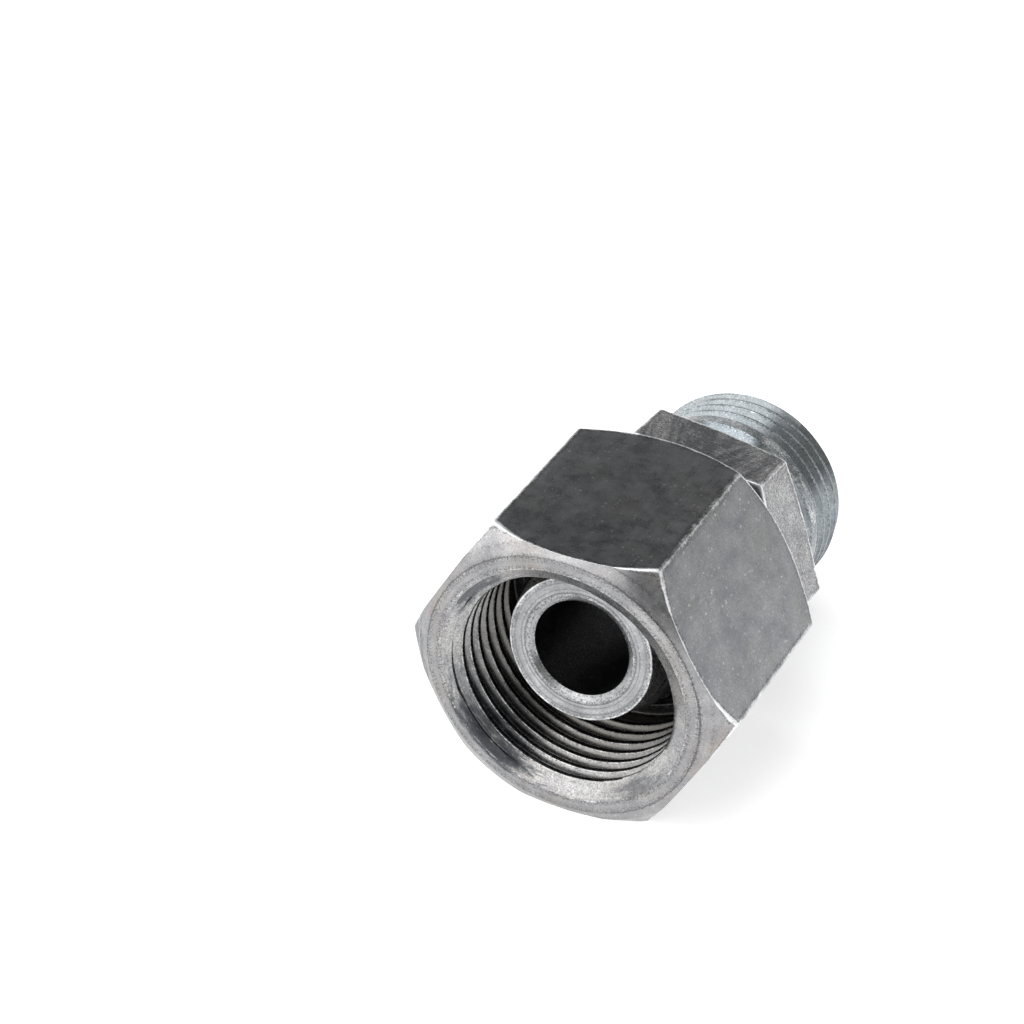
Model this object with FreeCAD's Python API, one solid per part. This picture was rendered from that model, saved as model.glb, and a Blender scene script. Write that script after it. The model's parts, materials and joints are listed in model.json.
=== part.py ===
import FreeCAD, Part
import math
import os

# A straight hydraulic fitting for 24 degree cone joints. A one-piece body has a stud end for
# 12 mm tube (M20 x 1.5) and, at its other end, a cone nipple with an O-ring, for a stud end of
# the 14 mm size. A loose union nut (M22 x 1.5) turns on the nipple, held by an open wire ring.
# Millimetres and degrees. The nut lies on one flat with its axis along Y and its mouth towards
# -Y, and the body hangs in it with the stud end low. The origin is the middle of that flat.

# The heavy series: a thread is eight millimetres larger than its tube
nipple_tube = 14.0
stud_tube = 12.0
thread_over_tube = 8.0
thread_pitch = 1.5
tube_clearance = 0.1
cone_angle = 24.0

# Union nut
nut_wall = 2.5
nut_length = 20.7
nut_mouth_over_thread = 1.5
nut_mouth_cone = 120.0
nut_relief_over_thread = 0.5
nut_relief_width = 2.6
nut_land_width = 1.4
nut_lip = 1.5
nut_front_inset = 0.6
nut_front_bevel = 30.0
nut_front_shoulder = 0.6
nut_front_shoulder_bevel = 46.5
nut_rear_inset = 0.2
nut_rear_bevel = 41.0
nut_corner_radius = 0.35

# Fitting body, along its own axis from the nipple's tip
body_length = 37.2
body_bore = 9.0
bore_chamfer = 0.55
bore_chamfer_depth = 0.3
nipple_under_tube = 0.34
nipple_cone_length = 6.3
nipple_reach = 13.3
spigot_step = 0.33
hex_wall = 1.0
hex_thickness = 6.8
hex_face_inset = 0.1
hex_bevel = 15.0
hex_turn = 7.9
hex_corner_radius = 0.25
stud_crest_clearance = 0.03
stud_end_chamfer = 1.2
stud_neck_depth = 1.15
stud_neck_width = 2.2
stud_neck_fillet = 1.2
stud_runout = 45.0
socket_mouth_over_tube = 2.3
socket_depth = 7.6
socket_edge = 0.3

# O-ring and its groove in the cone
oring_section = 2.0
oring_station = 4.4
oring_groove_depth = 1.77
oring_side_room = 0.25
oring_seat = 0.03
oring_groove_edge = 0.2

# Open wire ring that holds the nut
wire_diameter = 2.0
wire_bite = 0.65
wire_side_room = 0.15
wire_inner_room = 0.85
wire_outer_room = 0.85
wire_pass_room = 0.25
wire_gap = 30.0

# How far the loose body hangs down in the nut, and the room that it keeps
droop = 7.2
running_clearance = 0.12

# Small broken edges
edge_break = 0.15
groove_corner = 0.3

# Radii and places that follow from the values above
slope = math.tan(math.radians(cone_angle / 2))
sin_droop = math.sin(math.radians(droop))
cos_droop = math.cos(math.radians(droop))
crest_depth = 5 / 8 * math.sqrt(3) / 2 * thread_pitch
nut_thread_radius = (nipple_tube + thread_over_tube) / 2
nut_crest_radius = nut_thread_radius - crest_depth
nut_across_flats = 2 * (nut_thread_radius + nut_wall)
stud_thread_radius = (stud_tube + thread_over_tube) / 2
stud_radius = stud_thread_radius - stud_crest_clearance
hex_across_flats = 2 * (stud_thread_radius + hex_wall)
hex_face_radius = hex_across_flats / 2 - hex_face_inset
tip_radius = (nipple_tube - nipple_under_tube) / 2
cone_end_radius = tip_radius + nipple_cone_length * slope
spigot_radius = cone_end_radius + spigot_step
oring_floor_radius = tip_radius + oring_station * slope - oring_groove_depth
wire_centre_radius = spigot_radius - wire_bite + wire_diameter / 2
wire_outer_radius = wire_centre_radius + wire_diameter / 2
groove_half = wire_outer_radius * sin_droop + wire_diameter / 2 + running_clearance
pivot_to_rear = groove_half + nut_lip
pivot_station = nut_length - pivot_to_rear
lip_radius = (spigot_radius + pivot_to_rear * sin_droop) / cos_droop + running_clearance
hex_from_pivot = (pivot_to_rear + running_clearance + hex_face_radius * sin_droop) / cos_droop
hex_front = nipple_reach + hex_from_pivot
hex_rear = hex_front + hex_thickness


def rounded_wire(corners, place):
    """Closed wire through corners (a, b, radius), each turned into a tangent arc of its radius."""
    edges = []
    first = None
    last = None
    count = len(corners)
    for index in range(count):
        a, b, radius = corners[index]
        before = corners[index - 1]
        after = corners[(index + 1) % count]
        here = FreeCAD.Vector(a, b, 0)
        back = FreeCAD.Vector(before[0], before[1], 0).sub(here).normalize()
        ahead = FreeCAD.Vector(after[0], after[1], 0).sub(here).normalize()
        start = here
        end = here
        if radius > 0:
            half = back.getAngle(ahead) / 2
            start = here + back * (radius / math.tan(half))
            end = here + ahead * (radius / math.tan(half))
            middle_line = (back + ahead).normalize()
            centre = here + middle_line * (radius / math.sin(half))
            middle = centre - middle_line * radius
        if last is None:
            first = start
        else:
            edges.append(Part.LineSegment(place(last), place(start)).toShape())
        if radius > 0:
            edges.append(Part.Arc(place(start), place(middle), place(end)).toShape())
        last = end
    edges.append(Part.LineSegment(place(last), place(first)).toShape())
    return Part.Wire(edges)


def turned(corners):
    """Solid of revolution about Y from corners (radius, station, corner radius)."""
    wire = rounded_wire(corners, lambda p: FreeCAD.Vector(p.x, p.y, 0))
    return Part.Face(wire).revolve(FreeCAD.Vector(0, 0, 0), FreeCAD.Vector(0, 1, 0), 360)


def hexagon_bar(across_flats, length, corner_radius):
    """Hexagonal bar along +Y from the origin, with a flat facing down and rounded corners."""
    reach = across_flats / math.sqrt(3)
    corners = []
    for step in range(6):
        angle = math.radians(60 * step)
        corners.append((reach * math.cos(angle), reach * math.sin(angle), corner_radius))
    wire = rounded_wire(corners, lambda p: FreeCAD.Vector(p.x, 0, p.y))
    return Part.Face(wire).extrude(FreeCAD.Vector(0, length, 0))


def bevel_depth(inner_radius, outer_radius, angle):
    """Axial depth of a cone that rises at an angle from a flat face."""
    return (outer_radius - inner_radius) * math.tan(math.radians(angle))


def make_nut():
    """Hexagonal nut with bevelled ends, a coned mouth, a relief, the ring's groove and a rear lip."""
    flat = nut_across_flats / 2
    beyond = nut_across_flats / math.sqrt(3) + 1
    front_face = flat - nut_front_inset
    shoulder = flat + nut_front_shoulder
    rear_face = flat - nut_rear_inset
    shoulder_depth = bevel_depth(front_face, shoulder, nut_front_bevel)
    front_depth = shoulder_depth + bevel_depth(shoulder, beyond, nut_front_shoulder_bevel)
    rear_depth = bevel_depth(rear_face, beyond, nut_rear_bevel)
    blank = turned([
        (0, 0, 0),
        (front_face, 0, edge_break),
        (shoulder, shoulder_depth, 1.0),
        (beyond, front_depth, 0),
        (beyond, nut_length - rear_depth, 0),
        (rear_face, nut_length, edge_break),
        (0, nut_length, 0),
    ])
    bar = hexagon_bar(nut_across_flats, nut_length, nut_corner_radius)

    crest = nut_crest_radius
    mouth = nut_thread_radius + nut_mouth_over_thread / 2
    mouth_depth = (mouth - crest) / math.tan(math.radians(nut_mouth_cone / 2))
    groove_end = nut_length - nut_lip
    groove_start = groove_end - 2 * groove_half
    relief_end = groove_start - nut_land_width
    relief_start = relief_end - nut_relief_width
    relief = nut_thread_radius + nut_relief_over_thread / 2
    land = wire_outer_radius + wire_pass_room
    groove = wire_outer_radius + wire_outer_room
    cut_beyond = 1.0
    mouth_cut = (mouth - crest) / mouth_depth * cut_beyond
    hollow = turned([
        (0, -cut_beyond, 0),
        (mouth + mouth_cut, -cut_beyond, 0),
        (crest, mouth_depth, edge_break),
        (crest, relief_start, 0),
        (relief, relief_start + (relief - crest), groove_corner),
        (relief, relief_end, groove_corner),
        (land, relief_end, edge_break),
        (land, groove_start, edge_break),
        (groove, groove_start, groove_corner),
        (groove, groove_end, groove_corner),
        (lip_radius, groove_end, edge_break),
        (lip_radius, nut_length - edge_break, 0),
        (lip_radius + edge_break + cut_beyond, nut_length + cut_beyond, 0),
        (0, nut_length + cut_beyond, 0),
    ])
    nut = bar.common(blank).cut(hollow)
    nut.translate(FreeCAD.Vector(0, -nut_length / 2, nut_across_flats / 2))
    return nut


def make_body():
    """Body turned from one bar: cone nipple, spigot, hexagon, relieved neck and stud end."""
    bore = body_bore / 2
    oring_half = oring_section / 2 + oring_side_room
    oring_front = oring_station - oring_half
    oring_rear = oring_station + oring_half
    wire_floor = spigot_radius - wire_bite - wire_inner_room
    wire_half = wire_diameter / 2 + wire_side_room
    neck = stud_radius - stud_neck_depth
    neck_end = hex_rear + stud_neck_width
    runout_end = neck_end + stud_neck_depth / math.tan(math.radians(stud_runout))
    hex_middle = hex_front + hex_thickness / 2
    end_face = stud_radius - stud_end_chamfer
    mouth = (stud_tube + socket_mouth_over_tube) / 2
    socket = (stud_tube + tube_clearance) / 2
    socket_cone = (mouth - socket) / slope
    stop = body_length - socket_depth
    turned_part = turned([
        (bore + bore_chamfer, 0, 0),
        (tip_radius, 0, edge_break),
        (tip_radius + oring_front * slope, oring_front, oring_groove_edge),
        (oring_floor_radius, oring_front, groove_corner),
        (oring_floor_radius, oring_rear, groove_corner),
        (tip_radius + oring_rear * slope, oring_rear, oring_groove_edge),
        (cone_end_radius, nipple_cone_length, groove_corner),
        (spigot_radius, nipple_cone_length + spigot_step, 0),
        (spigot_radius, nipple_reach - wire_half, edge_break),
        (wire_floor, nipple_reach - wire_half, groove_corner),
        (wire_floor, nipple_reach + wire_half, groove_corner),
        (spigot_radius, nipple_reach + wire_half, edge_break),
        (spigot_radius, hex_middle, 0),
        (neck, hex_middle, 0),
        (neck, neck_end, groove_corner),
        (stud_radius, runout_end, 0),
        (stud_radius, body_length - stud_end_chamfer, 0),
        (end_face, body_length, edge_break),
        (mouth, body_length, socket_edge),
        (socket, body_length - socket_cone, 0),
        (socket, stop, edge_break),
        (bore, stop, edge_break),
        (bore, bore_chamfer_depth, 0),
    ])

    core = bore + bore_chamfer
    beyond = hex_across_flats / math.sqrt(3) + 1
    face = hex_face_radius
    depth = bevel_depth(face, beyond, hex_bevel)
    fillet = min(stud_neck_fillet, face - neck - edge_break, stud_neck_width)
    hex_blank = turned([
        (core, hex_front, 0),
        (face, hex_front, edge_break),
        (beyond, hex_front + depth, 0),
        (beyond, hex_rear - depth, 0),
        (face, hex_rear, edge_break),
        (neck + fillet, hex_rear, 0),
        (neck, hex_rear + fillet, 0),
        (core, hex_rear + fillet, 0),
    ])
    fillet_tool = turned([
        (neck, hex_rear + 3 * fillet, 0),
        (neck, hex_rear, fillet),
        (neck + 3 * fillet, hex_rear, 0),
        (neck + 3 * fillet, hex_rear + 3 * fillet, 0),
    ])
    bar = hexagon_bar(hex_across_flats, hex_thickness + fillet, hex_corner_radius)
    bar.rotate(FreeCAD.Vector(0, 0, 0), FreeCAD.Vector(0, 1, 0), hex_turn)
    bar.translate(FreeCAD.Vector(0, hex_front, 0))
    hexagon = bar.common(hex_blank.cut(fillet_tool))
    return hang(turned_part.fuse(hexagon).removeSplitter())


def make_oring():
    """Rubber ring lying in the groove of the cone."""
    centre_radius = oring_floor_radius + oring_section / 2 + oring_seat
    ring = Part.makeTorus(centre_radius, oring_section / 2,
                          FreeCAD.Vector(0, oring_station, 0), FreeCAD.Vector(0, 1, 0))
    return hang(ring)


def make_wire_ring():
    """Open ring of round spring wire, with its gap at the top."""
    sweep = 360 - wire_gap
    start = FreeCAD.Vector(wire_centre_radius, nipple_reach, 0)
    section = Part.Wire(Part.makeCircle(wire_diameter / 2, start, FreeCAD.Vector(0, 0, 1)))
    ring = Part.Face(section).revolve(FreeCAD.Vector(0, 0, 0), FreeCAD.Vector(0, 1, 0), sweep)
    ring.rotate(FreeCAD.Vector(0, 0, 0), FreeCAD.Vector(0, 1, 0), wire_gap / 2 - 90)
    return hang(ring)


def hang(shape):
    """Places a piece of the body: the ring's centre on the nut's axis, the stud end down."""
    shape.translate(FreeCAD.Vector(0, -nipple_reach, 0))
    shape.rotate(FreeCAD.Vector(0, 0, 0), FreeCAD.Vector(1, 0, 0), -droop)
    shape.translate(FreeCAD.Vector(0, pivot_station - nut_length / 2, nut_across_flats / 2))
    return shape


os.makedirs("parts", exist_ok=True)
pieces = {
    "swivel_nut": make_nut(),
    "fitting_body": make_body(),
    "o_ring": make_oring(),
    "retaining_ring": make_wire_ring(),
}
for name, piece in pieces.items():
    solid = piece.Solids[0]
    print(name, "solids", len(piece.Solids), "valid", piece.isValid(), "volume", round(solid.Volume, 1))
    solid.exportStep("parts/" + name + ".step")
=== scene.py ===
import json
import math

import bmesh
import bpy
import numpy as np
from mathutils import Matrix, Vector


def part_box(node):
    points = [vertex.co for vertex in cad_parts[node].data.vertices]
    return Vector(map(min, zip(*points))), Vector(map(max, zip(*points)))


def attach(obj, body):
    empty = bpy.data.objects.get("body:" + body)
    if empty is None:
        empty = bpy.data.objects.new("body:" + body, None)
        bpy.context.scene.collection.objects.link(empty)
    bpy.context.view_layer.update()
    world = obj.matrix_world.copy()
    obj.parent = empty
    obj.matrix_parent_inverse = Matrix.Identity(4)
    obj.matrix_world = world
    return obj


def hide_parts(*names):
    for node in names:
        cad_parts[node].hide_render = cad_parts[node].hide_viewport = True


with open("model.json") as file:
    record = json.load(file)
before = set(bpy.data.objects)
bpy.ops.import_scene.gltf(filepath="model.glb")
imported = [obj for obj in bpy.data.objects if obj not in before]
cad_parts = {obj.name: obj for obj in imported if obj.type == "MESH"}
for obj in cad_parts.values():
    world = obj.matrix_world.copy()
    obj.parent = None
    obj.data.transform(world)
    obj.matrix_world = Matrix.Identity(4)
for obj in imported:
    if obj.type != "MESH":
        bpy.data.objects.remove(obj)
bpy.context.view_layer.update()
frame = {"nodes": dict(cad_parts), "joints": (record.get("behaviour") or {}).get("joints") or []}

# A straight hydraulic fitting in satin zinc plating. Lengths are millimetres until a mesh is
# stored. Both turned pieces are grids: one direction runs round the axis, the other along the
# closed outline of the piece's section.
MM = 0.001

# Sizes of the threads, the tubes and the 24 degree cones
THREAD_PITCH = 1.5
THREAD_OVER_TUBE = 8.0
CREST_DEPTH = 5 / 8 * math.sqrt(3) / 2 * THREAD_PITCH
NIPPLE_TUBE = 14.0
STUD_TUBE = 12.0
CONE_SLOPE = math.tan(math.radians(12.0))

# Places read from the frame: how far the body droops in the loose nut, and about which point
nut_low, nut_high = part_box("swivel_nut")
NUT_LENGTH = (nut_high.y - nut_low.y) / MM
NUT_FLAT = (nut_high.z - nut_low.z) / MM / 2
PIVOT = Vector(frame["joints"][0]["pos_m"])
SPIN_AXIS = Vector(frame["joints"][1]["axis"])
DROOP = math.atan2(-SPIN_AXIS.z, SPIN_AXIS.y)

# Sizes that join the nut and the body
BODY_LENGTH = 37.2
NIPPLE_REACH = 13.3
RING_RADIUS = 9.85
RING_GROOVE_HALF = RING_RADIUS * math.sin(DROOP) + 1.12
NUT_REAR_WALL = 1.5
RUNNING_GAP = 0.12
HEX_TURN = math.radians(7.9)

# Light levels, where 1 renders a white as white
FLOOR_GLOW = 0.5
LAMP_POWER = 4.3
FRONT_LEVEL = 1.9
BACK_LEVEL = 0.55
CEILING_LEVEL = 0.05

# Shape of the room's light: heights are sines of the angle above the floor
WALL_TOP_FRONT = 0.84
WALL_TOP_REAR = 0.46
SKIRTING_SHARE = 0.82
UPPER_WALL_SHARE = 1.3
CAMERA_SIDE = (0.411, -0.807, 0.423)
CAMERA_SIDE_SHARE = 0.17

# Colours that the materials share
SOOT = (0.02, 0.02, 0.02, 1)
PIT_BOTTOM = (0.04, 0.04, 0.045, 1)
LIGHT_GRAIN = (0.78, 0.78, 0.78, 1)
LIGHT_SPECK = (0.80, 0.80, 0.81, 1)
BARE_EDGE = (0.79, 0.80, 0.81, 1)
EDGE_NICK = (0.03, 0.03, 0.035, 1)
# Dark colour of the painted shade patches, which stand in for shade and dark reflections on the metal
PAINTED_SHADE_COLOR = (0.05, 0.055, 0.065, 1)
TOOL_RING = (0.06, 0.06, 0.065, 1)

# Height in metres of the deepest grain and tool marks
BUMP_DEPTH = 0.00001

# Regions of a turned piece, which are also its material slots
FLAT, TURNED, THREAD, BORE = range(4)

# Rows that turn a section's corner into an arc, the distance in metres within which points are one,
# and the angle from which an edge is shaded sharp
ARC_POINTS = 5
MERGE_DISTANCE = 2e-7
SHARP_EDGE = math.radians(38)


def round_noise(angles, around, seed):
    """Noise from -1 to 1 that closes on itself round the axis: a sum of sines whose whole numbers of
    waves lie between a third of around and around."""
    chance = np.random.default_rng(seed)
    counts = chance.integers(max(1, around // 3), around + 1, 12)
    phases = chance.uniform(0, 2 * math.pi, 12)
    return np.sin(angles[..., None] * counts + phases).sum(-1) / 4.5


def angle_grid(turn, step):
    """Angles round the axis, a step in degrees apart, and closer together beside the six corners. All are
    moved on by turn, in radians."""
    near = np.array([-1.6, -1.3, -0.75, -0.5, -0.25, 0.25, 0.5, 0.75, 1.3, 1.6])
    plain = np.arange(0, 360, step)
    beside_corners = (np.arange(6)[:, None] * 60 + near).ravel() % 360
    grid = np.unique(np.round(np.concatenate([plain, beside_corners, [360.0]]), 4))
    return np.radians(grid) + turn


def from_corner(angles):
    """Angle from the nearest corner of the hexagon, negative before it."""
    return (angles + math.pi / 6) % (math.pi / 3) - math.pi / 6


def hexagon_radius(angles, flat, corner):
    """Distance from the axis to a hexagon with rounded corners: the flat's distance divided by the
    cosine of the angle from its middle, or, beside a corner, the far crossing with the corner's
    circle."""
    off_corner = from_corner(angles)
    straight = flat / np.cos(math.pi / 6 - np.abs(off_corner))
    centre = (flat - corner) / math.cos(math.pi / 6)
    reach = corner ** 2 - (centre * np.sin(off_corner)) ** 2
    curved = centre * np.cos(off_corner) + np.sqrt(np.maximum(reach, 0))
    tangent = np.arctan2(corner * 0.5, centre + corner * math.cos(math.pi / 6))
    return np.where(np.abs(off_corner) < tangent, curved, straight)


def long_edge_wear(angles):
    """0.8 on the long edges between the flats, falling to 0 two degrees beside them."""
    return 0.8 * np.clip(1.35 - 0.7 * np.abs(np.degrees(from_corner(angles))), 0, 1)


def near_corner(angles):
    """1 at the hexagon's corners, falling to 0 twelve degrees beside them."""
    return np.clip(1 - np.abs(np.degrees(from_corner(angles))) / 12, 0, 1)


class Section:
    """Rows of a closed section: each row is a radius and a station for every angle, with its region and
    how near it is to a worn edge."""

    def __init__(self, angles, corner_wear):
        self.angles = angles
        self.corner_wear = corner_wear
        self.rows = []

    def add(self, radius, station, region, edge=0.0):
        shape = np.ones_like(self.angles)
        self.rows.append((radius * shape, station * shape, region, edge * shape))

    def run(self, corners):
        """Joins corners (radius, station, rounding, steps, region, edge) by straight runs, each corner
        turned into an arc that touches both of its runs. The first and last corners stay sharp. The
        steps, region and edge of a corner hold for the run after it."""
        ones = np.ones_like(self.angles)
        places = [np.stack([corner[0] * ones, corner[1] * ones]) for corner in corners]
        last = len(corners) - 1
        for index, (_, _, rounding, steps, region, edge) in enumerate(corners):
            run_start = places[index]
            if 0 < index < last and np.max(rounding) > 0:
                arc = self.arc(*places[index - 1:index + 2], rounding)
                region_before = corners[index - 1][4]
                for number, place in enumerate(arc):
                    side = region_before if number < ARC_POINTS // 2 else region
                    self.add(*place, side, edge)
                run_start = arc[-1]
            else:
                self.add(*run_start, region, edge)
            if index == last:
                break
            next_rounding, next_edge = corners[index + 1][2], corners[index + 1][5]
            run_end = places[index + 1]
            if index + 1 < last and np.max(next_rounding) > 0:
                run_end = self.arc(*places[index:index + 3], next_rounding)[0]
            for step in range(1, steps):
                share = step / steps
                share = share * share * (3 - 2 * share)
                place = run_start + (run_end - run_start) * share
                beside = 0.0
                if steps >= 4 and step in (1, steps - 1):
                    beside = 0.6 * (edge if step == 1 else next_edge)
                self.add(*place, region, beside)

    def arc(self, before, here, after, rounding):
        """Points of the circle of that radius that touches both runs of a corner, or of a smaller one
        where a run is too short for it."""
        back = before - here
        ahead = after - here
        back_length = np.hypot(*back)
        ahead_length = np.hypot(*ahead)
        back = back / back_length
        ahead = ahead / ahead_length
        half = np.arccos(np.clip((back * ahead).sum(0), -1, 1)) / 2
        limit = 0.45 * np.minimum(back_length, ahead_length)
        reach = np.minimum(rounding / np.tan(half), limit)
        radius = reach * np.tan(half)
        bisector = back + ahead
        bisector = bisector / np.hypot(*bisector)
        centre = here + bisector * radius / np.sin(half)
        first = here + back * reach - centre
        final = here + ahead * reach - centre
        turn = np.maximum(math.pi - 2 * half, 1e-3)
        points = []
        for share in np.linspace(0.0, 1.0, ARC_POINTS):
            from_first = np.sin((1 - share) * turn) / np.sin(turn)
            from_final = np.sin(share * turn) / np.sin(turn)
            points.append(centre + first * from_first + final * from_final)
        return points

    def thread(self, start, end, crest, root, wall, outside, wear, full_from, shift):
        """A right-hand thread between two stations: the rows follow the helix, so a row's depth is fixed
        by its place in the pitch. wall gives the plain wall's radius at a station, and the wall or the
        thread shows, whichever takes more metal away. Rows beyond an end lie on it. The edge value is
        wear on the crests and falls below 0 in the groove, which counts as 0. The groove deepens over
        a short fade up to full_from, and shift moves the helix along the axis."""
        fade_length, fade_wear = 0.6, 0.6
        crest_half = 0.10 if outside else 0.17
        root_half = 0.09 if outside else 0.10
        flank_wear = -0.35 if outside else 0.2 * wear
        # Half of one pitch: place in the pitch, share of the depth, edge value
        half = [(0.0, 0.0, 0.4 * wear), (0.75 * crest_half, 0.0, 0.7 * wear), (crest_half, 0.04, wear),
                (crest_half + 0.05, 0.14, flank_wear), (0.5 - root_half - 0.07, 0.78, -1.0),
                (0.5 - 0.7 * root_half, 0.97, -1.0), (0.5, 1.0, -1.0)]
        half_places, half_depths, _ = zip(*half)
        pitch_rows = [(place, edge) for place, _, edge in half]
        pitch_rows += [(1 - place, edge) for place, _, edge in reversed(half[1:-1])]
        turns = math.ceil((end - start - shift) / THREAD_PITCH) + 1
        lead = THREAD_PITCH * (self.angles - self.angles[0]) / (2 * math.pi) - shift
        for turn in range(-1, turns + 1):
            for place, edge in pitch_rows:
                station = np.clip(start + (turn + place) * THREAD_PITCH - lead, start, end)
                phase = ((station + lead - start) / THREAD_PITCH) % 1.0
                depths = np.interp(np.minimum(phase, 1 - phase), half_places, half_depths)
                cut = np.clip((station - full_from) / fade_length + 1, 0, 1)
                cut = cut * cut * (3 - 2 * cut)
                radius = crest + (root - crest) * depths * cut
                plain = wall(station)
                radius = np.minimum(radius, plain) if outside else np.maximum(radius, plain)
                on_wall = np.abs(radius - plain) < 1e-6
                worn = edge * cut + fade_wear * (1 - cut)
                self.add(radius, station, THREAD, np.where(on_wall, 0.0, worn))

    def mesh(self, name, place):
        """Puts the grid into a mesh: x is the radius times the cosine of the angle, y the station and z
        the radius times the sine. The UV map's U is the angle in turns and its V the distance along the
        section in millimetres, measured half way between two corners. The attribute edge is 1 on worn
        edges and 0 away from them."""
        radius, station, region, edge = zip(*self.rows)
        edge = [np.maximum(worn, self.corner_wear * (where == FLAT)) for worn, where in zip(edge, region)]
        radius = np.array(radius + radius[:1])
        station = np.array(station + station[:1])
        edge = np.array(edge + edge[:1])
        rows, columns = radius.shape
        points = np.stack([radius * np.cos(self.angles), station, radius * np.sin(self.angles)], -1)
        points = place(points.reshape(-1, 3)) * MM
        row, column = np.meshgrid(np.arange(rows - 1), np.arange(columns - 1), indexing="ij")
        corner = (row * columns + column).ravel()
        faces = np.stack([corner, corner + 1, corner + columns + 1, corner + columns], -1)
        mesh = bpy.data.meshes.new(name)
        mesh.from_pydata(points, [], faces)
        mesh.polygons.foreach_set("material_index", np.repeat(region, columns - 1).astype(np.int32))
        worn = mesh.attributes.new("edge", "FLOAT", "POINT")
        worn.data.foreach_set("value", edge.ravel().astype(np.float32))
        mid_flat = columns // 12
        lengths = np.hypot(np.diff(radius[:, mid_flat]), np.diff(station[:, mid_flat]))
        along = np.concatenate([[0], np.cumsum(lengths)])
        turns = (self.angles - self.angles[0]) / (2 * math.pi)
        where = np.stack(np.meshgrid(turns, along), -1).reshape(-1, 2)
        uv = mesh.uv_layers.new(name="section")
        uv.data.foreach_set("uv", where[faces.ravel()].ravel().astype(np.float32))
        return close_mesh(mesh)


def close_mesh(mesh):
    """Merges the points that lie on each other, which closes the seam, and turns all faces outwards."""
    work = bmesh.new()
    work.from_mesh(mesh)
    bmesh.ops.remove_doubles(work, verts=work.verts, dist=MERGE_DISTANCE)
    bmesh.ops.dissolve_degenerate(work, edges=work.edges, dist=MERGE_DISTANCE / 20)
    bmesh.ops.recalc_face_normals(work, faces=work.faces)
    work.to_mesh(mesh)
    work.free()
    mesh.polygons.foreach_set("use_smooth", np.ones(len(mesh.polygons), bool))
    mesh.set_sharp_from_angle(angle=SHARP_EDGE)
    return mesh


def cone_depth(inner, outer, angle):
    """Axial depth of a cone that rises at an angle, in degrees, from a flat face."""
    return (outer - inner) * math.tan(math.radians(angle))


def nut_section():
    """Outline of the nut's section: front face, bevels, flats, rear face, lip, groove, relief, thread."""
    angles = angle_grid(0.0, 1.0)
    section = Section(angles, long_edge_wear(angles))
    front, shoulder, rear = NUT_FLAT - 0.6, NUT_FLAT + 0.6, NUT_FLAT - 0.2
    front_bevel, corner_bevel, rear_bevel, mouth_cone = 30.0, 46.5, 41.0, 60.0
    outer = hexagon_radius(angles, NUT_FLAT, 0.35)
    shoulder_station = cone_depth(front, shoulder, front_bevel)

    def bevel(radius):
        """Station of the front bevel at a radius: a cone up to the shoulder, then a steeper one."""
        steep = shoulder_station + cone_depth(shoulder, radius, corner_bevel)
        return np.where(radius < shoulder, cone_depth(front, radius, front_bevel), steep)

    thread_radius = (NIPPLE_TUBE + THREAD_OVER_TUBE) / 2
    crest = thread_radius - CREST_DEPTH
    relief = thread_radius + 0.25
    mouth = thread_radius + 0.75
    mouth_slope = math.tan(math.radians(mouth_cone))
    groove_end = NUT_LENGTH - NUT_REAR_WALL
    groove_start = groove_end - 2 * RING_GROOVE_HALF
    land_length, relief_length = 1.4, 2.6
    relief_end = groove_start - land_length
    relief_start = relief_end - relief_length
    thread_end = relief_start + (relief - crest) + 0.3
    land = RING_RADIUS + 0.25
    groove = RING_RADIUS + 0.85
    spigot = 8.5
    lip = (spigot + (RING_GROOVE_HALF + NUT_REAR_WALL) * math.sin(DROOP)) / math.cos(DROOP) + RUNNING_GAP

    def wall(station):
        """Plain wall round the thread: the mouth's cone, then the relief's 45 degree side."""
        cone = mouth - station * mouth_slope
        side = np.minimum(crest + (station - relief_start), relief)
        return np.maximum(cone, np.where(station > relief_start, side, 0))

    ragged = 0.2 + 0.34 * near_corner(angles) + 0.06 * round_noise(angles, 150, 3)
    ragged_rear = 0.14 + 0.06 * round_noise(angles, 150, 4)
    on_bevel = np.minimum(shoulder, outer - 0.02)
    thread_start = 0.1
    section.run([
        (mouth - thread_start * mouth_slope, thread_start, 0, 2, TURNED, 0.6),
        (mouth, 0.0, 0.07, 4, TURNED, 0.6),
        (front, 0.0, 0.16, 4, TURNED, 0.35),
        (on_bevel, bevel(on_bevel), 0.5, 5, TURNED, 0.15),
        (outer, bevel(outer), ragged, 22, FLAT, 1.0),
        (outer, NUT_LENGTH - cone_depth(rear, outer, rear_bevel), ragged_rear, 4, TURNED, 1.0),
        (rear, NUT_LENGTH, 0.15, 5, TURNED, 0.5),
        (lip + 0.15, NUT_LENGTH, 0.05, 2, TURNED, 0.5),
        (lip, NUT_LENGTH - 0.15, 0.05, 3, BORE, 0.3),
        (lip, groove_end, 0.15, 3, BORE, 0.3),
        (groove, groove_end, 0.3, 3, BORE, 0),
        (groove, groove_start, 0.3, 3, BORE, 0),
        (land, groove_start, 0.15, 2, BORE, 0.3),
        (land, relief_end, 0.15, 2, BORE, 0.3),
        (relief, relief_end, 0.3, 4, BORE, 0),
        (relief, thread_end, 0, 1, BORE, 0),
    ])
    forward = Section(angles, 0)
    forward.thread(thread_start, thread_end, crest, thread_radius, wall, outside=False, wear=0.8,
                   full_from=0.0, shift=0.67)
    section.rows.extend(reversed(forward.rows))
    return section


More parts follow.
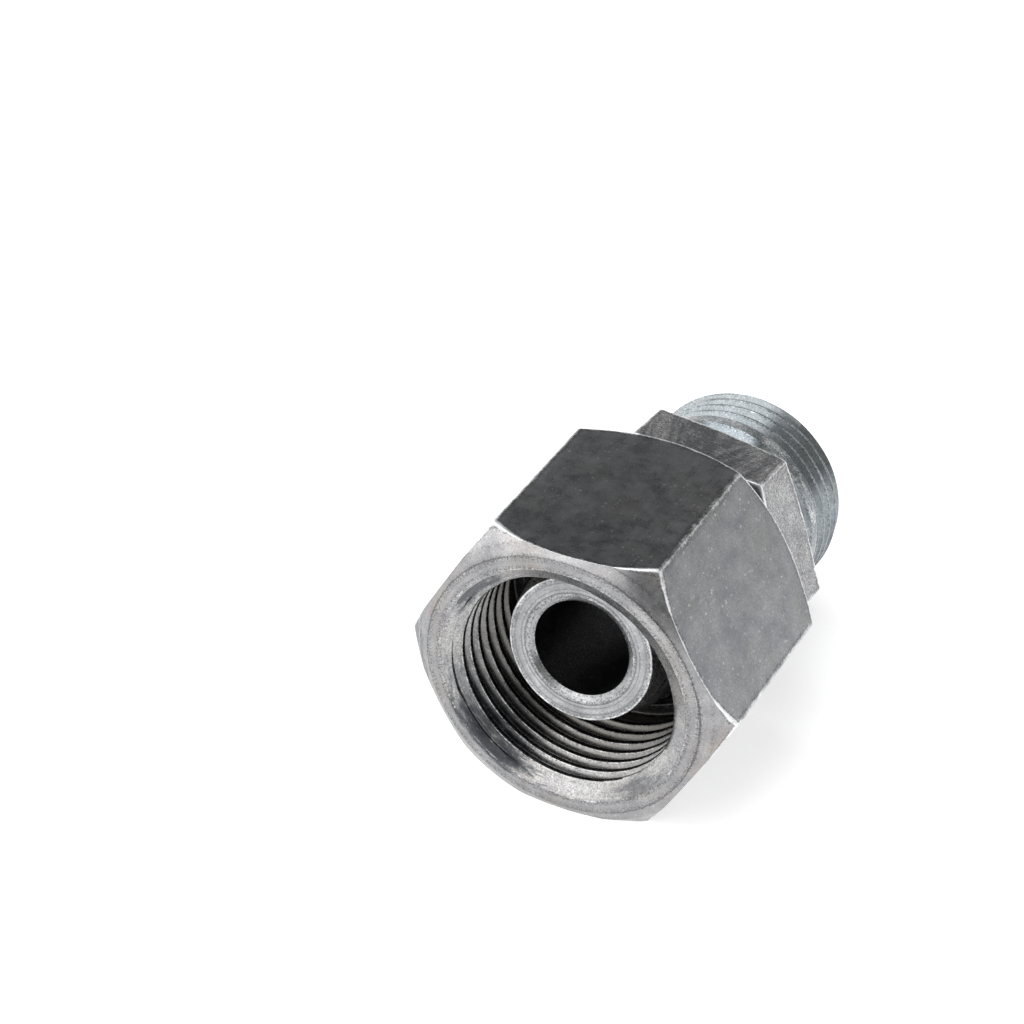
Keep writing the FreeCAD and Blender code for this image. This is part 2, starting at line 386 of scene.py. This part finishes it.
def body_section():
    """Outline of the body's section: nipple, O-ring groove, spigot, ring groove, hexagon, neck, thread,
    end face, tube socket and bore."""
    angles = angle_grid(-HEX_TURN, 1.25)
    section = Section(angles, long_edge_wear(angles + HEX_TURN))
    tip, bore, bore_row = (NIPPLE_TUBE - 0.34) / 2, 4.5, 6.0
    cone_length, spigot_step = 6.3, 0.33
    cone_end = tip + cone_length * CONE_SLOPE
    spigot = cone_end + spigot_step
    seal_start, seal_end, seal_depth = 3.15, 5.65, 1.77
    seal_floor = tip + (seal_start + seal_end) / 2 * CONE_SLOPE - seal_depth
    wire_half, wire_depth = 1.15, 1.5
    wire_start, wire_end = NIPPLE_REACH - wire_half, NIPPLE_REACH + wire_half
    wire_floor = spigot - wire_depth
    flat = (STUD_TUBE + THREAD_OVER_TUBE) / 2 + 1.0
    face = flat - 0.1
    face_bevel = 15.0
    outer = hexagon_radius(angles + HEX_TURN, flat, 0.25)
    behind_pivot = RING_GROOVE_HALF + NUT_REAR_WALL + RUNNING_GAP
    hex_front = NIPPLE_REACH + (behind_pivot + face * math.sin(DROOP)) / math.cos(DROOP)
    hex_length, neck_length, neck_depth = 6.8, 2.2, 1.15
    hex_rear = hex_front + hex_length
    stud = (STUD_TUBE + THREAD_OVER_TUBE) / 2 - 0.03
    neck = stud - neck_depth
    neck_end = hex_rear + neck_length
    thread_start = neck_end + stud - neck
    thread_end = BODY_LENGTH - 0.1
    chamfer, socket_depth = 1.2, 7.6
    end_face = stud - chamfer
    mouth, socket = (STUD_TUBE + 2.3) / 2, (STUD_TUBE + 0.1) / 2
    stop = BODY_LENGTH - socket_depth

    def wall(station):
        """Plain wall round the thread: the end's 45 degree chamfer."""
        return end_face + (BODY_LENGTH - station)

    ragged = 0.12 + 0.05 * round_noise(angles, 150, 8)
    section.run([
        (bore, bore_row, 0, 8, BORE, 0),
        (bore, 0.3, 0.05, 2, TURNED, 0.5),
        (bore + 0.55, 0.0, 0.05, 6, TURNED, 0.5),
        (tip, 0.0, 0.15, 5, TURNED, 0.8),
        (tip + seal_start * CONE_SLOPE, seal_start, 0.2, 2, TURNED, 0.3),
        (seal_floor, seal_start, 0.3, 2, BORE, 0),
        (seal_floor, seal_end, 0.3, 2, BORE, 0),
        (tip + seal_end * CONE_SLOPE, seal_end, 0.2, 2, TURNED, 0.3),
        (cone_end, cone_length, 0.2, 2, TURNED, 0),
        (spigot, cone_length + spigot_step, 0.1, 4, TURNED, 0),
        (spigot, wire_start, 0.15, 2, TURNED, 0),
        (wire_floor, wire_start, 0.3, 2, BORE, 0),
        (wire_floor, wire_end, 0.3, 2, BORE, 0),
        (spigot, wire_end, 0.15, 5, TURNED, 0),
        (spigot, hex_front, 0.1, 4, TURNED, 0),
        (face, hex_front, 0.15, 4, TURNED, 0.5),
        (outer, hex_front + cone_depth(face, outer, face_bevel), ragged, 10, FLAT, 1.0),
        (outer, hex_rear - cone_depth(face, outer, face_bevel), ragged, 4, TURNED, 1.0),
        (face, hex_rear, 0.15, 3, TURNED, 0.6),
        (neck, hex_rear, 1.2, 2, TURNED, 0),
        (neck, neck_end, 0.2, 3, THREAD, 0),
        (stud, thread_start, 0, 1, THREAD, 0),
    ])
    thread_depth = 0.92
    section.thread(thread_start, thread_end, stud, stud - thread_depth, wall, outside=True, wear=0.5,
                   full_from=neck_end + 2.92, shift=0.19)
    section.run([
        (end_face + 0.1, thread_end, 0, 1, TURNED, 0.6),
        (end_face, BODY_LENGTH, 0.1, 4, TURNED, 0.6),
        (mouth, BODY_LENGTH, 0.3, 8, TURNED, 0.6),
        (socket, BODY_LENGTH - (mouth - socket) / CONE_SLOPE, 0.1, 3, BORE, 0),
        (socket, stop, 0.15, 3, BORE, 0),
        (bore, stop, 0.15, 12, BORE, 0.3),
        (bore, bore_row, 0, 1, BORE, 0),
    ])
    return section


def place_nut(points):
    """The nut's axis lies at the height of half its width, its mouth towards -Y."""
    return points + np.array([0, -NUT_LENGTH / 2, NUT_FLAT])


def place_body(points):
    """The body turns down by the droop about the ring's centre."""
    turn = np.array(Matrix.Rotation(-DROOP, 3, "X"))
    return (points - np.array([0, NIPPLE_REACH, 0])) @ turn.T + np.array(PIVOT) / MM


class Nodes:
    """Short calls for building a node tree."""

    def __init__(self, tree):
        self.tree = tree

    def add(self, kind, inputs=None, **settings):
        """Node of a kind with its settings, each input linked to a socket or set to a value."""
        node = self.tree.nodes.new(kind)
        for name, value in settings.items():
            setattr(node, name, value)
        for key, value in (inputs or {}).items():
            self.set(node, key, value)
        return node

    def set(self, node, key, value):
        socket = node.inputs[key]
        if isinstance(value, bpy.types.NodeSocket):
            self.tree.links.new(value, socket)
        else:
            socket.default_value = value

    def group(self, tree, inputs):
        """Outputs of a node group with the named inputs."""
        return self.add("ShaderNodeGroup", inputs, node_tree=tree).outputs

    def parts(self, vector):
        """The three parts of a vector, by the names X, Y and Z."""
        return self.add("ShaderNodeSeparateXYZ", {0: vector}).outputs

    def math(self, operation, a, b=0.0):
        return self.add("ShaderNodeMath", {0: a, 1: b}, operation=operation).outputs[0]

    def ramp(self, value, low, high, to_low=0.0, to_high=1.0):
        """Value from low to high becomes to_low to to_high, and stays there beyond."""
        node = self.add("ShaderNodeMapRange", {0: value, 1: low, 2: high, 3: to_low, 4: to_high})
        return node.outputs[0]

    def mix(self, share, a, b):
        """Colour a, with a share of colour b in it."""
        node = self.add("ShaderNodeMix", data_type="RGBA")
        self.set(node, 0, share)
        self.set(node, 6, a)
        self.set(node, 7, b)
        return node.outputs[2]

    def noise(self, vector, scale, detail=3.0, roughness=0.6):
        node = self.add("ShaderNodeTexNoise", {"Vector": vector, "Scale": scale, "Detail": detail,
                                               "Roughness": roughness})
        return node.outputs["Fac"]

    def stretch(self, vector, scales):
        """The vector with each part multiplied by its own scale."""
        node = self.add("ShaderNodeVectorMath", {0: vector, 1: scales}, operation="MULTIPLY")
        return node.outputs[0]

    def shift(self, vector, distance):
        """The vector moved, so that a second noise doesn't repeat the first."""
        step = (distance, distance, distance)
        return self.add("ShaderNodeVectorMath", {0: vector, 1: step}, operation="ADD").outputs[0]


def new_group(name, inputs, outputs):
    """Empty shader group. Its inputs are (name, value), a vector or a colour where the value has parts,
    and its outputs (name, number of parts)."""
    group = bpy.data.node_groups.new(name, "ShaderNodeTree")
    kinds = {1: "NodeSocketFloat", 3: "NodeSocketVector", 4: "NodeSocketColor"}
    for label, value in inputs:
        parts = len(value) if isinstance(value, tuple) else 1
        socket = group.interface.new_socket(label, in_out="INPUT", socket_type=kinds[parts])
        if parts != 3:
            socket.default_value = value
    for label, parts in outputs:
        group.interface.new_socket(label, in_out="OUTPUT", socket_type=kinds[parts])
    nodes = Nodes(group)
    return group, nodes, nodes.add("NodeGroupInput").outputs, nodes.add("NodeGroupOutput")


def plating_group():
    """Clouds, stains, fine speckle, small pits and light specks of zinc plating. Vector is in
    millimetres."""
    group, n, given, out = new_group(
        "zinc_plating",
        [("Vector", (0, 0, 0)), ("Light", (0.45, 0.45, 0.45, 1)), ("Dark", (0.3, 0.3, 0.3, 1)),
         ("Warm", (0.4, 0.37, 0.34, 1)), ("Stain", 0.3), ("Speckle", 0.3), ("Specks", 0.3),
         ("Pits", 0.3)],
        [("Color", 4), ("Specks", 1), ("Pits", 1)])
    where = given["Vector"]
    # Clouds and stains
    cloud = n.ramp(n.noise(where, 0.5, 5), 0.36, 0.66)
    color = n.mix(cloud, given["Dark"], given["Light"])
    stain = n.ramp(n.noise(n.shift(where, 31.0), 0.22, 4), 0.48, 0.70)
    color = n.mix(n.math("MULTIPLY", stain, given["Stain"]), color, given["Warm"])
    # Dark and light speckle
    fine = n.noise(where, 6.0, 2, 0.7)
    dark_grain = n.math("MULTIPLY", n.ramp(fine, 0.52, 0.36), given["Speckle"])
    color = n.mix(dark_grain, color, given["Dark"])
    color = n.mix(n.math("MULTIPLY", dark_grain, 0.45), color, SOOT)
    light_share = n.math("MULTIPLY", given["Speckle"], 0.6)
    light_grain = n.math("MULTIPLY", n.ramp(fine, 0.56, 0.74), light_share)
    color = n.mix(light_grain, color, LIGHT_GRAIN)
    # Light specks, in patches
    cells = n.add("ShaderNodeTexVoronoi", {"Vector": where, "Scale": 2.2, "Randomness": 1.0})
    from_middle = n.math("ADD", cells.outputs["Distance"], n.math("MULTIPLY", fine, 0.25))
    speck = n.ramp(from_middle, 0.42, 0.28)
    patchy = n.ramp(n.noise(n.shift(where, 17.0), 0.35, 4), 0.40, 0.56)
    cell_value = n.add("ShaderNodeSeparateColor", {0: cells.outputs["Color"]}).outputs[0]
    chance = n.math("POWER", cell_value, 2.5)
    speck = n.math("MULTIPLY", n.math("MULTIPLY", speck, chance), patchy)
    speck = n.math("MULTIPLY", speck, given["Specks"])
    # Small dark pits
    dots = n.add("ShaderNodeTexVoronoi", {"Vector": n.shift(where, 7.0), "Scale": 1.6})
    from_middle = n.math("ADD", dots.outputs["Distance"], n.math("MULTIPLY", fine, 0.12))
    pit = n.math("MULTIPLY", n.ramp(from_middle, 0.20, 0.13), given["Pits"])
    color = n.mix(pit, color, PIT_BOTTOM)
    color = n.mix(speck, color, LIGHT_SPECK)
    n.set(out, "Color", color)
    n.set(out, "Specks", speck)
    n.set(out, "Pits", pit)
    return group


def grain_group():
    """Fine pebbled grain of drawn bar under thin plating. Vector is in millimetres."""
    group, n, given, out = new_group(
        "bar_grain", [("Vector", (0, 0, 0)), ("Scale", 1.0)], [("Height", 1)])
    coarse = n.noise(given["Vector"], n.math("MULTIPLY", given["Scale"], 3.2), 3, 0.65)
    fine = n.noise(given["Vector"], n.math("MULTIPLY", given["Scale"], 7.5), 2, 0.6)
    height = n.math("ADD", n.math("MULTIPLY", coarse, 0.55), n.math("MULTIPLY", fine, 0.45))
    n.set(out, "Height", height)
    return group


def lathe_group():
    """Tool marks round the axis: noise that depends on the distance along the section in millimetres,
    with a slow drift round the axis."""
    group, n, given, out = new_group(
        "lathe_marks", [("UV", (0, 0, 0)), ("Fineness", 1.0)], [("Height", 1), ("Mask", 1)])
    scale = n.add("ShaderNodeCombineXYZ", {"X": 3.0, "Y": n.math("MULTIPLY", given["Fineness"], 5.5)})
    lines = n.noise(n.stretch(given["UV"], scale.outputs[0]), 1.0, 2, 0.5)
    broad = n.add("ShaderNodeCombineXYZ", {"X": 7.0, "Y": n.math("MULTIPLY", given["Fineness"], 1.8)})
    bands = n.noise(n.stretch(given["UV"], broad.outputs[0]), 1.0, 3, 0.5)
    height = n.math("ADD", n.math("MULTIPLY", lines, 0.6), n.math("MULTIPLY", bands, 0.4))
    n.set(out, "Height", height)
    n.set(out, "Mask", n.ramp(height, 0.42, 0.60))
    return group


def wear_group():
    """Broken bright line on a worn edge and a broken dark line beside it, from the attribute edge and
    noise. Vector is in millimetres."""
    group, n, given, out = new_group(
        "edge_wear", [("Vector", (0, 0, 0)), ("Edge", 0.0)], [("Bright", 1), ("Dark", 1)])
    chips = n.noise(given["Vector"], 4.2, 4, 0.75)
    slow = n.math("MULTIPLY", n.math("SUBTRACT", n.noise(given["Vector"], 0.55, 3), 0.5), 1.2)
    worn = n.math("ADD", given["Edge"], n.math("ADD", n.math("MULTIPLY", chips, 1.3), slow))
    bright = n.ramp(worn, 1.25, 1.65)
    nicks = n.noise(n.shift(given["Vector"], 5.0), 6.0, 2, 0.6)
    band = n.math("MULTIPLY", given["Edge"], n.math("SUBTRACT", 1.0, given["Edge"]))
    dark = n.math("MULTIPLY", n.ramp(nicks, 0.50, 0.58), n.ramp(band, 0.05, 0.2))
    n.set(out, "Bright", bright)
    n.set(out, "Dark", dark)
    return group


def painted_shade_group():
    """Painted shade: a dark patch on a face that stands in for shade and dark reflections, broken up by
    noise: one less the distance, in patch sizes, from a place given by its turn round the nut's axis and
    its radius. Vector and radii are in millimetres."""
    group, n, given, out = new_group(
        "painted_shade_patch",
        [("Vector", (0, 0, 0)), ("Turn", 0.5), ("Radius", 12.0), ("Turns wide", 0.1), ("Width", 1.0)],
        [("Mask", 1)])
    parts = n.parts(given["Vector"])
    height = n.math("SUBTRACT", parts["Z"], NUT_FLAT)
    square = n.math("ADD", n.math("MULTIPLY", parts["X"], parts["X"]), n.math("MULTIPLY", height, height))
    radius = n.math("SQRT", square)
    angle = n.math("DIVIDE", n.math("ARCTAN2", height, parts["X"]), 2 * math.pi)
    # One less the distance from the middle
    away = n.math("PINGPONG", n.math("SUBTRACT", angle, given["Turn"]), 0.5)
    across = n.math("DIVIDE", away, given["Turns wide"])
    along = n.math("DIVIDE", n.math("SUBTRACT", radius, given["Radius"]), given["Width"])
    square = n.math("ADD", n.math("MULTIPLY", across, across), n.math("MULTIPLY", along, along))
    nearness = n.math("SUBTRACT", 1.0, n.math("SQRT", square))
    # Streaks that follow the turning
    turned = {"X": n.math("MULTIPLY", angle, 55.0), "Y": n.math("MULTIPLY", radius, 3.5)}
    polar = n.add("ShaderNodeCombineXYZ", turned).outputs[0]
    broad = n.math("MULTIPLY", n.noise(polar, 0.3, 2), 0.6)
    streaks = n.math("SUBTRACT", n.math("ADD", n.noise(polar, 1.0, 6, 0.85), broad), 0.8)
    mask = n.math("ADD", nearness, n.math("MULTIPLY", streaks, 2.8))
    n.set(out, "Mask", n.ramp(mask, 0.0, 0.6))
    return group


PLATING = plating_group()
GRAIN = grain_group()
LATHE = lathe_group()
WEAR = wear_group()
SHADE_PATCH_GROUP = painted_shade_group()


def with_painted_shade(n, color, where, painted_shades):
    """The colour with patches of painted shade (turn, radius, turns wide, width, share) on it."""
    for turn, radius, turns_wide, width, share in painted_shades:
        mask = n.group(SHADE_PATCH_GROUP, {"Vector": where, "Turn": turn, "Radius": radius,
                                "Turns wide": turns_wide, "Width": width})["Mask"]
        color = n.mix(n.math("MULTIPLY", mask, share), color, PAINTED_SHADE_COLOR)
    return color


def ringed(n, color, where, along, rings):
    """The colour with broken dark rings (place along the section, half width, share) on it."""
    for place, half_width, share in rings:
        away = n.math("ABSOLUTE", n.math("SUBTRACT", along, place))
        broken = n.math("SUBTRACT", n.noise(where, 3.5, 4, 0.75), 0.5)
        away = n.math("ADD", n.math("DIVIDE", away, half_width), n.math("MULTIPLY", broken, 2.2))
        color = n.mix(n.math("MULTIPLY", n.ramp(away, 1.0, 0.5), share), color, TOOL_RING)
    return color


def plated_steel(name, light, dark, warm, roughness, stain=0.3, speckle=0.3, specks=0.3, pits=0.3,
                 grain=0.0, grain_scale=1.0, lathe=0.0, lathe_fineness=1.0, lathe_tone=0.0, painted_shades=(),
                 rings=(), inside=None):
    """Plated steel: clouded colour, grain or tool marks in the bump, patches of painted shade, rings and
    worn edges.
    inside is (start, depth, colour): painted shade, the dark colour that the piece takes between those
    distances along Y in millimetres, deeper in a bore."""
    material = bpy.data.materials.new(name)
    material.use_nodes = True
    tree = material.node_tree
    tree.nodes.clear()
    n = Nodes(tree)
    coordinates = n.add("ShaderNodeTexCoord").outputs
    where = n.stretch(coordinates["Object"], (1000, 1000, 1000))
    along = n.parts(coordinates["UV"])["Y"]
    edge = n.add("ShaderNodeAttribute", attribute_name="edge").outputs["Fac"]
    plate = n.group(PLATING, {"Vector": where, "Light": light, "Dark": dark, "Warm": warm, "Stain": stain,
                              "Speckle": speckle, "Specks": specks, "Pits": pits})
    pebbles = n.group(GRAIN, {"Vector": where, "Scale": grain_scale})
    marks = n.group(LATHE, {"UV": coordinates["UV"], "Fineness": lathe_fineness})
    wear = n.group(WEAR, {"Vector": where, "Edge": edge})

    color = n.mix(n.math("MULTIPLY", marks["Mask"], lathe_tone), plate["Color"], dark)
    # Patches of painted shade, standing in for shade and dark reflections
    color = with_painted_shade(n, color, where, painted_shades)
    color = ringed(n, color, where, along, rings)
    # Painted shade: the colour turns dark deeper inside the nut's bore
    if inside:
        start, depth, deep_color = inside
        station = n.parts(where)["Y"]
        color = n.mix(n.ramp(station, start, start + depth), color, deep_color)
    color = n.mix(n.math("MULTIPLY", wear["Dark"], 0.6), color, EDGE_NICK)
    color = n.mix(wear["Bright"], color, BARE_EDGE)

    rough = n.ramp(n.noise(where, 0.8, 4), 0.3, 0.7, roughness - 0.04, roughness + 0.06)
    rough = n.math("ADD", rough, n.math("MULTIPLY", wear["Bright"], 0.14))
    height = n.math("ADD", n.math("MULTIPLY", pebbles["Height"], grain),
                    n.math("MULTIPLY", marks["Height"], lathe))
    height = n.math("SUBTRACT", height, n.math("MULTIPLY", plate["Pits"], 0.8))
    bumped = n.add("ShaderNodeBump", {"Height": height, "Strength": 1.0, "Distance": BUMP_DEPTH})
    shader = n.add("ShaderNodeBsdfPrincipled", {"Base Color": color, "Roughness": rough,
                                                "Metallic": 1.0, "Normal": bumped.outputs[0]})
    out = n.add("ShaderNodeOutputMaterial")
    tree.links.new(shader.outputs[0], out.inputs[0])
    return material


def rubber():
    """Black moulded nitrile rubber with a faint bloom."""
    material = bpy.data.materials.new("seal_rubber")
    material.use_nodes = True
    n = Nodes(material.node_tree)
    where = n.add("ShaderNodeTexCoord").outputs["Object"]
    shader = material.node_tree.nodes["Principled BSDF"]
    bloom = n.ramp(n.noise(where, 600, 4), 0.4, 0.7)
    n.set(shader, "Base Color", n.mix(bloom, (0.012, 0.012, 0.013, 1), (0.03, 0.03, 0.031, 1)))
    n.set(shader, "Roughness", n.ramp(bloom, 0, 1, 0.38, 0.52))
    return material


def pale_floor():
    """Matt pale disc under the part, which the eye sees a little brighter than it is lit."""
    bpy.ops.mesh.primitive_circle_add(vertices=96, radius=1.5, fill_type="NGON", location=(0, 0, 0))
    floor = bpy.context.object
    floor.name = "pale_floor"
    paint = bpy.data.materials.new("pale_floor")
    paint.use_nodes = True
    n = Nodes(paint.node_tree)
    shader = paint.node_tree.nodes["Principled BSDF"]
    n.set(shader, "Base Color", (0.88, 0.88, 0.88, 1))
    n.set(shader, "Roughness", 0.9)
    n.set(shader, "Specular IOR Level", 0.1)
    n.set(shader, "Emission Color", (1, 1, 1, 1))
    paths = n.add("ShaderNodeLightPath").outputs
    seen = n.math("MAXIMUM", paths["Is Camera Ray"], paths["Is Glossy Ray"])
    seen = n.math("MAXIMUM", seen, paths["Is Transmission Ray"])
    n.set(shader, "Emission Strength", n.math("MULTIPLY", seen, FLOOR_GLOW))
    floor.data.materials.append(paint)


def softbox():
    """Large soft lamp overhead, a little to the left and in front."""
    lamp = bpy.data.lights.new("overhead_softbox", "AREA")
    lamp.shape = "DISK"
    lamp.size = 0.8
    lamp.energy = LAMP_POWER
    lamp.color = (0.97, 0.99, 1.0)
    holder = bpy.data.objects.new("overhead_softbox", lamp)
    holder.location = (-0.15, -0.12, 0.9)
    target = Vector((0, 0, 0.01))
    holder.rotation_euler = (target - holder.location).to_track_quat("-Z", "Y").to_euler()
    bpy.context.scene.collection.objects.link(holder)


def room():
    """Room whose walls are bright up to a height that falls towards the rear, under a dim ceiling. The
    camera's side is dim too, and bright windows stand at the rear and on the right."""
    world = bpy.data.worlds.new("studio")
    bpy.context.scene.world = world
    world.use_nodes = True
    n = Nodes(world.node_tree)
    world.node_tree.nodes.clear()
    direction = n.add("ShaderNodeTexCoord").outputs["Generated"]
    parts = n.parts(direction)
    # Height of the bright walls
    rearward = n.math("SUBTRACT", n.math("MULTIPLY", parts["Y"], 0.9),
                      n.math("MULTIPLY", parts["X"], 0.45))
    wall_top = n.ramp(rearward, -0.2, 0.7, WALL_TOP_FRONT, WALL_TOP_REAR)
    above = n.math("SUBTRACT", parts["Z"], wall_top)
    # Brightness of the walls
    leftward = n.math("MULTIPLY", n.math("ADD", parts["X"], parts["Y"]), -0.7)
    level = n.ramp(leftward, -0.9, 0.5, BACK_LEVEL, FRONT_LEVEL)
    level = n.math("MULTIPLY", level, n.ramp(parts["Z"], 0.05, 0.4, SKIRTING_SHARE, UPPER_WALL_SHARE))
    wall = n.math("MULTIPLY", level, n.ramp(above, -0.08, 0.03, 1.0, 0.0))
    # Dim camera side
    toward = n.add("ShaderNodeVectorMath", {0: direction, 1: CAMERA_SIDE}, operation="DOT_PRODUCT")
    shade = n.ramp(toward.outputs["Value"], 0.88, 0.93, 1.0, CAMERA_SIDE_SHARE)
    wall = n.math("MULTIPLY", wall, shade)
    # Windows at the rear and on the right
    window = n.ramp(n.math("MAXIMUM", parts["X"], parts["Y"]), 0.93, 0.965, 0.0, 1.0)
    strength = n.math("ADD", n.math("MAXIMUM", wall, window), CEILING_LEVEL)
    back = n.add("ShaderNodeBackground", {"Color": (1.0, 0.99, 0.98, 1), "Strength": strength})
    out = n.add("ShaderNodeOutputWorld")
    world.node_tree.links.new(back.outputs[0], out.inputs[0])


def camera():
    """Camera at the photograph's place: its axes in the frame and its place in millimetres."""
    place = Vector((89.42, -198.14, 171.66)) * MM
    ahead = Vector((-0.37219, 0.74114, -0.55874)).normalized()
    right = Vector((0.8906, 0.45469, 0.00988))
    right = (right - ahead * right.dot(ahead)).normalized()
    up = right.cross(ahead)
    data = bpy.data.cameras.new("camera")
    data.sensor_width = 36
    data.lens = 107.14
    data.clip_start, data.clip_end = 0.01, 10
    eye = bpy.data.objects.new("camera", data)
    turn = Matrix((right, up, -ahead)).transposed()
    eye.matrix_world = Matrix.Translation(place) @ turn.to_4x4()
    bpy.context.scene.collection.objects.link(eye)
    bpy.context.scene.camera = eye


def show(section, place, name, node, body, materials):
    """Makes a turned piece that stands for a node."""
    mesh = section.mesh(name, place)
    for material in materials:
        mesh.materials.append(material)
    piece = bpy.data.objects.new(name, mesh)
    bpy.context.scene.collection.objects.link(piece)
    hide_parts(node)
    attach(piece, body)


# The nut's materials
# Painted shade (turn, radius, turns wide, width, share): a dark patch on the top flat for the dark
# ceiling it reflects, and patches on the front face and in the mouth for the shadowed floor and the dim
# camera side they reflect
TOP_FLAT_PAINTED_SHADE = (0.25, 14.0, 0.1, 3.0, 0.2)
FRONT_FACE_PAINTED_SHADES = ((0.635, 11.75, 0.08, 0.5, 0.8), (0.165, 14.3, 0.035, 1.2, 0.3),
                      (0.52, 15.2, 0.06, 1.4, 0.75), (0.515, 15.4, 0.07, 1.9, 0.9),
                      (0.865, 11.6, 0.04, 0.5, 0.5))
MOUTH_PAINTED_SHADES = ((0.64, 11.3, 0.09, 1.2, 0.85), (0.385, 11.2, 0.065, 1.0, 0.8),
                 (0.60, 10.5, 0.12, 1.4, 0.6), (0.865, 11.3, 0.05, 0.8, 0.6))
nut_flats = plated_steel(
    "nut_flats", (0.30, 0.312, 0.322, 1), (0.213, 0.22, 0.235, 1), (0.275, 0.265, 0.25, 1), 0.28,
    stain=0.5, specks=0.6, pits=0.0, painted_shades=(TOP_FLAT_PAINTED_SHADE,))
nut_turned = plated_steel(
    "nut_turned", (0.39, 0.39, 0.39, 1), (0.25, 0.25, 0.26, 1), (0.34, 0.30, 0.265, 1), 0.25,
    stain=0.9, speckle=0.25, specks=0.4, grain=0.3, lathe=0.5, lathe_tone=0.5,
    painted_shades=FRONT_FACE_PAINTED_SHADES, rings=((1.42, 0.07, 0.55),))
# The nut's thread takes painted shade that darkens it deeper inside the nut
nut_thread = plated_steel(
    "nut_thread", (0.43, 0.43, 0.42, 1), (0.28, 0.28, 0.29, 1), (0.37, 0.335, 0.295, 1), 0.26,
    speckle=0.6, specks=0.4, pits=0.2, grain=0.6, lathe=0.3, painted_shades=MOUTH_PAINTED_SHADES,
    inside=(-8.2, 6.0, (0.14, 0.137, 0.128, 1)))
# Painted shade: the nut's inner lip, groove and relief take a much darker copy of the plating
nut_inside = plated_steel(
    "nut_inside", (0.14, 0.135, 0.13, 1), (0.08, 0.08, 0.08, 1), (0.10, 0.09, 0.08, 1), 0.42,
    grain=0.3, lathe=0.3)

# The body's materials
# Painted shade: a dark patch on the body's top flat, for the dark ceiling it reflects
BODY_FLAT_PAINTED_SHADE = (0.23, 11.5, 0.1, 3.5, 0.9)
NIPPLE_RINGS = ((6.6, 0.1, 0.5), (6.95, 0.07, 0.4), (7.55, 0.1, 0.4))
body_flats = plated_steel(
    "body_flats", (0.36, 0.365, 0.365, 1), (0.19, 0.19, 0.20, 1), (0.33, 0.31, 0.29, 1), 0.25,
    speckle=0.9, specks=0.5, pits=0.1, grain=4.0, grain_scale=0.7, painted_shades=(BODY_FLAT_PAINTED_SHADE,))
body_turned = plated_steel(
    "body_turned", (0.45, 0.46, 0.475, 1), (0.25, 0.255, 0.26, 1), (0.40, 0.38, 0.36, 1), 0.26,
    stain=0.2, speckle=0.35, specks=0.5, grain=0.6, lathe=1.0, lathe_fineness=0.7, lathe_tone=0.6,
    rings=NIPPLE_RINGS)
body_thread = plated_steel(
    "body_thread", (0.275, 0.30, 0.318, 1), (0.19, 0.215, 0.23, 1), (0.285, 0.30, 0.275, 1), 0.20,
    speckle=0.4, specks=0.2, pits=0.05, grain=0.2, lathe=0.3)
# Painted shade: the bore, the socket and the groove floors take a near-black copy of the plating
body_bore = plated_steel(
    "body_bore", (0.06, 0.06, 0.063, 1), (0.035, 0.035, 0.038, 1), (0.05, 0.045, 0.04, 1), 0.40,
    specks=0.02, grain=0.3, lathe=0.6)
wire_steel = plated_steel(
    "spring_wire", (0.30, 0.30, 0.31, 1), (0.20, 0.20, 0.21, 1), (0.28, 0.25, 0.23, 1), 0.35, grain=0.3)

# The pieces: both turned ones stand for their nodes, and the ring and the seal take materials
show(nut_section(), place_nut, "union_nut", "swivel_nut", "nut",
     [nut_flats, nut_turned, nut_thread, nut_inside])
show(body_section(), place_body, "stud_body", "fitting_body", "fitting",
     [body_flats, body_turned, body_thread, body_bore])
for node, material in (("retaining_ring", wire_steel), ("o_ring", rubber())):
    mesh = frame["nodes"][node].data
    mesh.materials.clear()
    mesh.materials.append(material)

# The studio and the camera
pale_floor()
softbox()
room()
camera()
bpy.context.scene.view_settings.view_transform = "Standard"
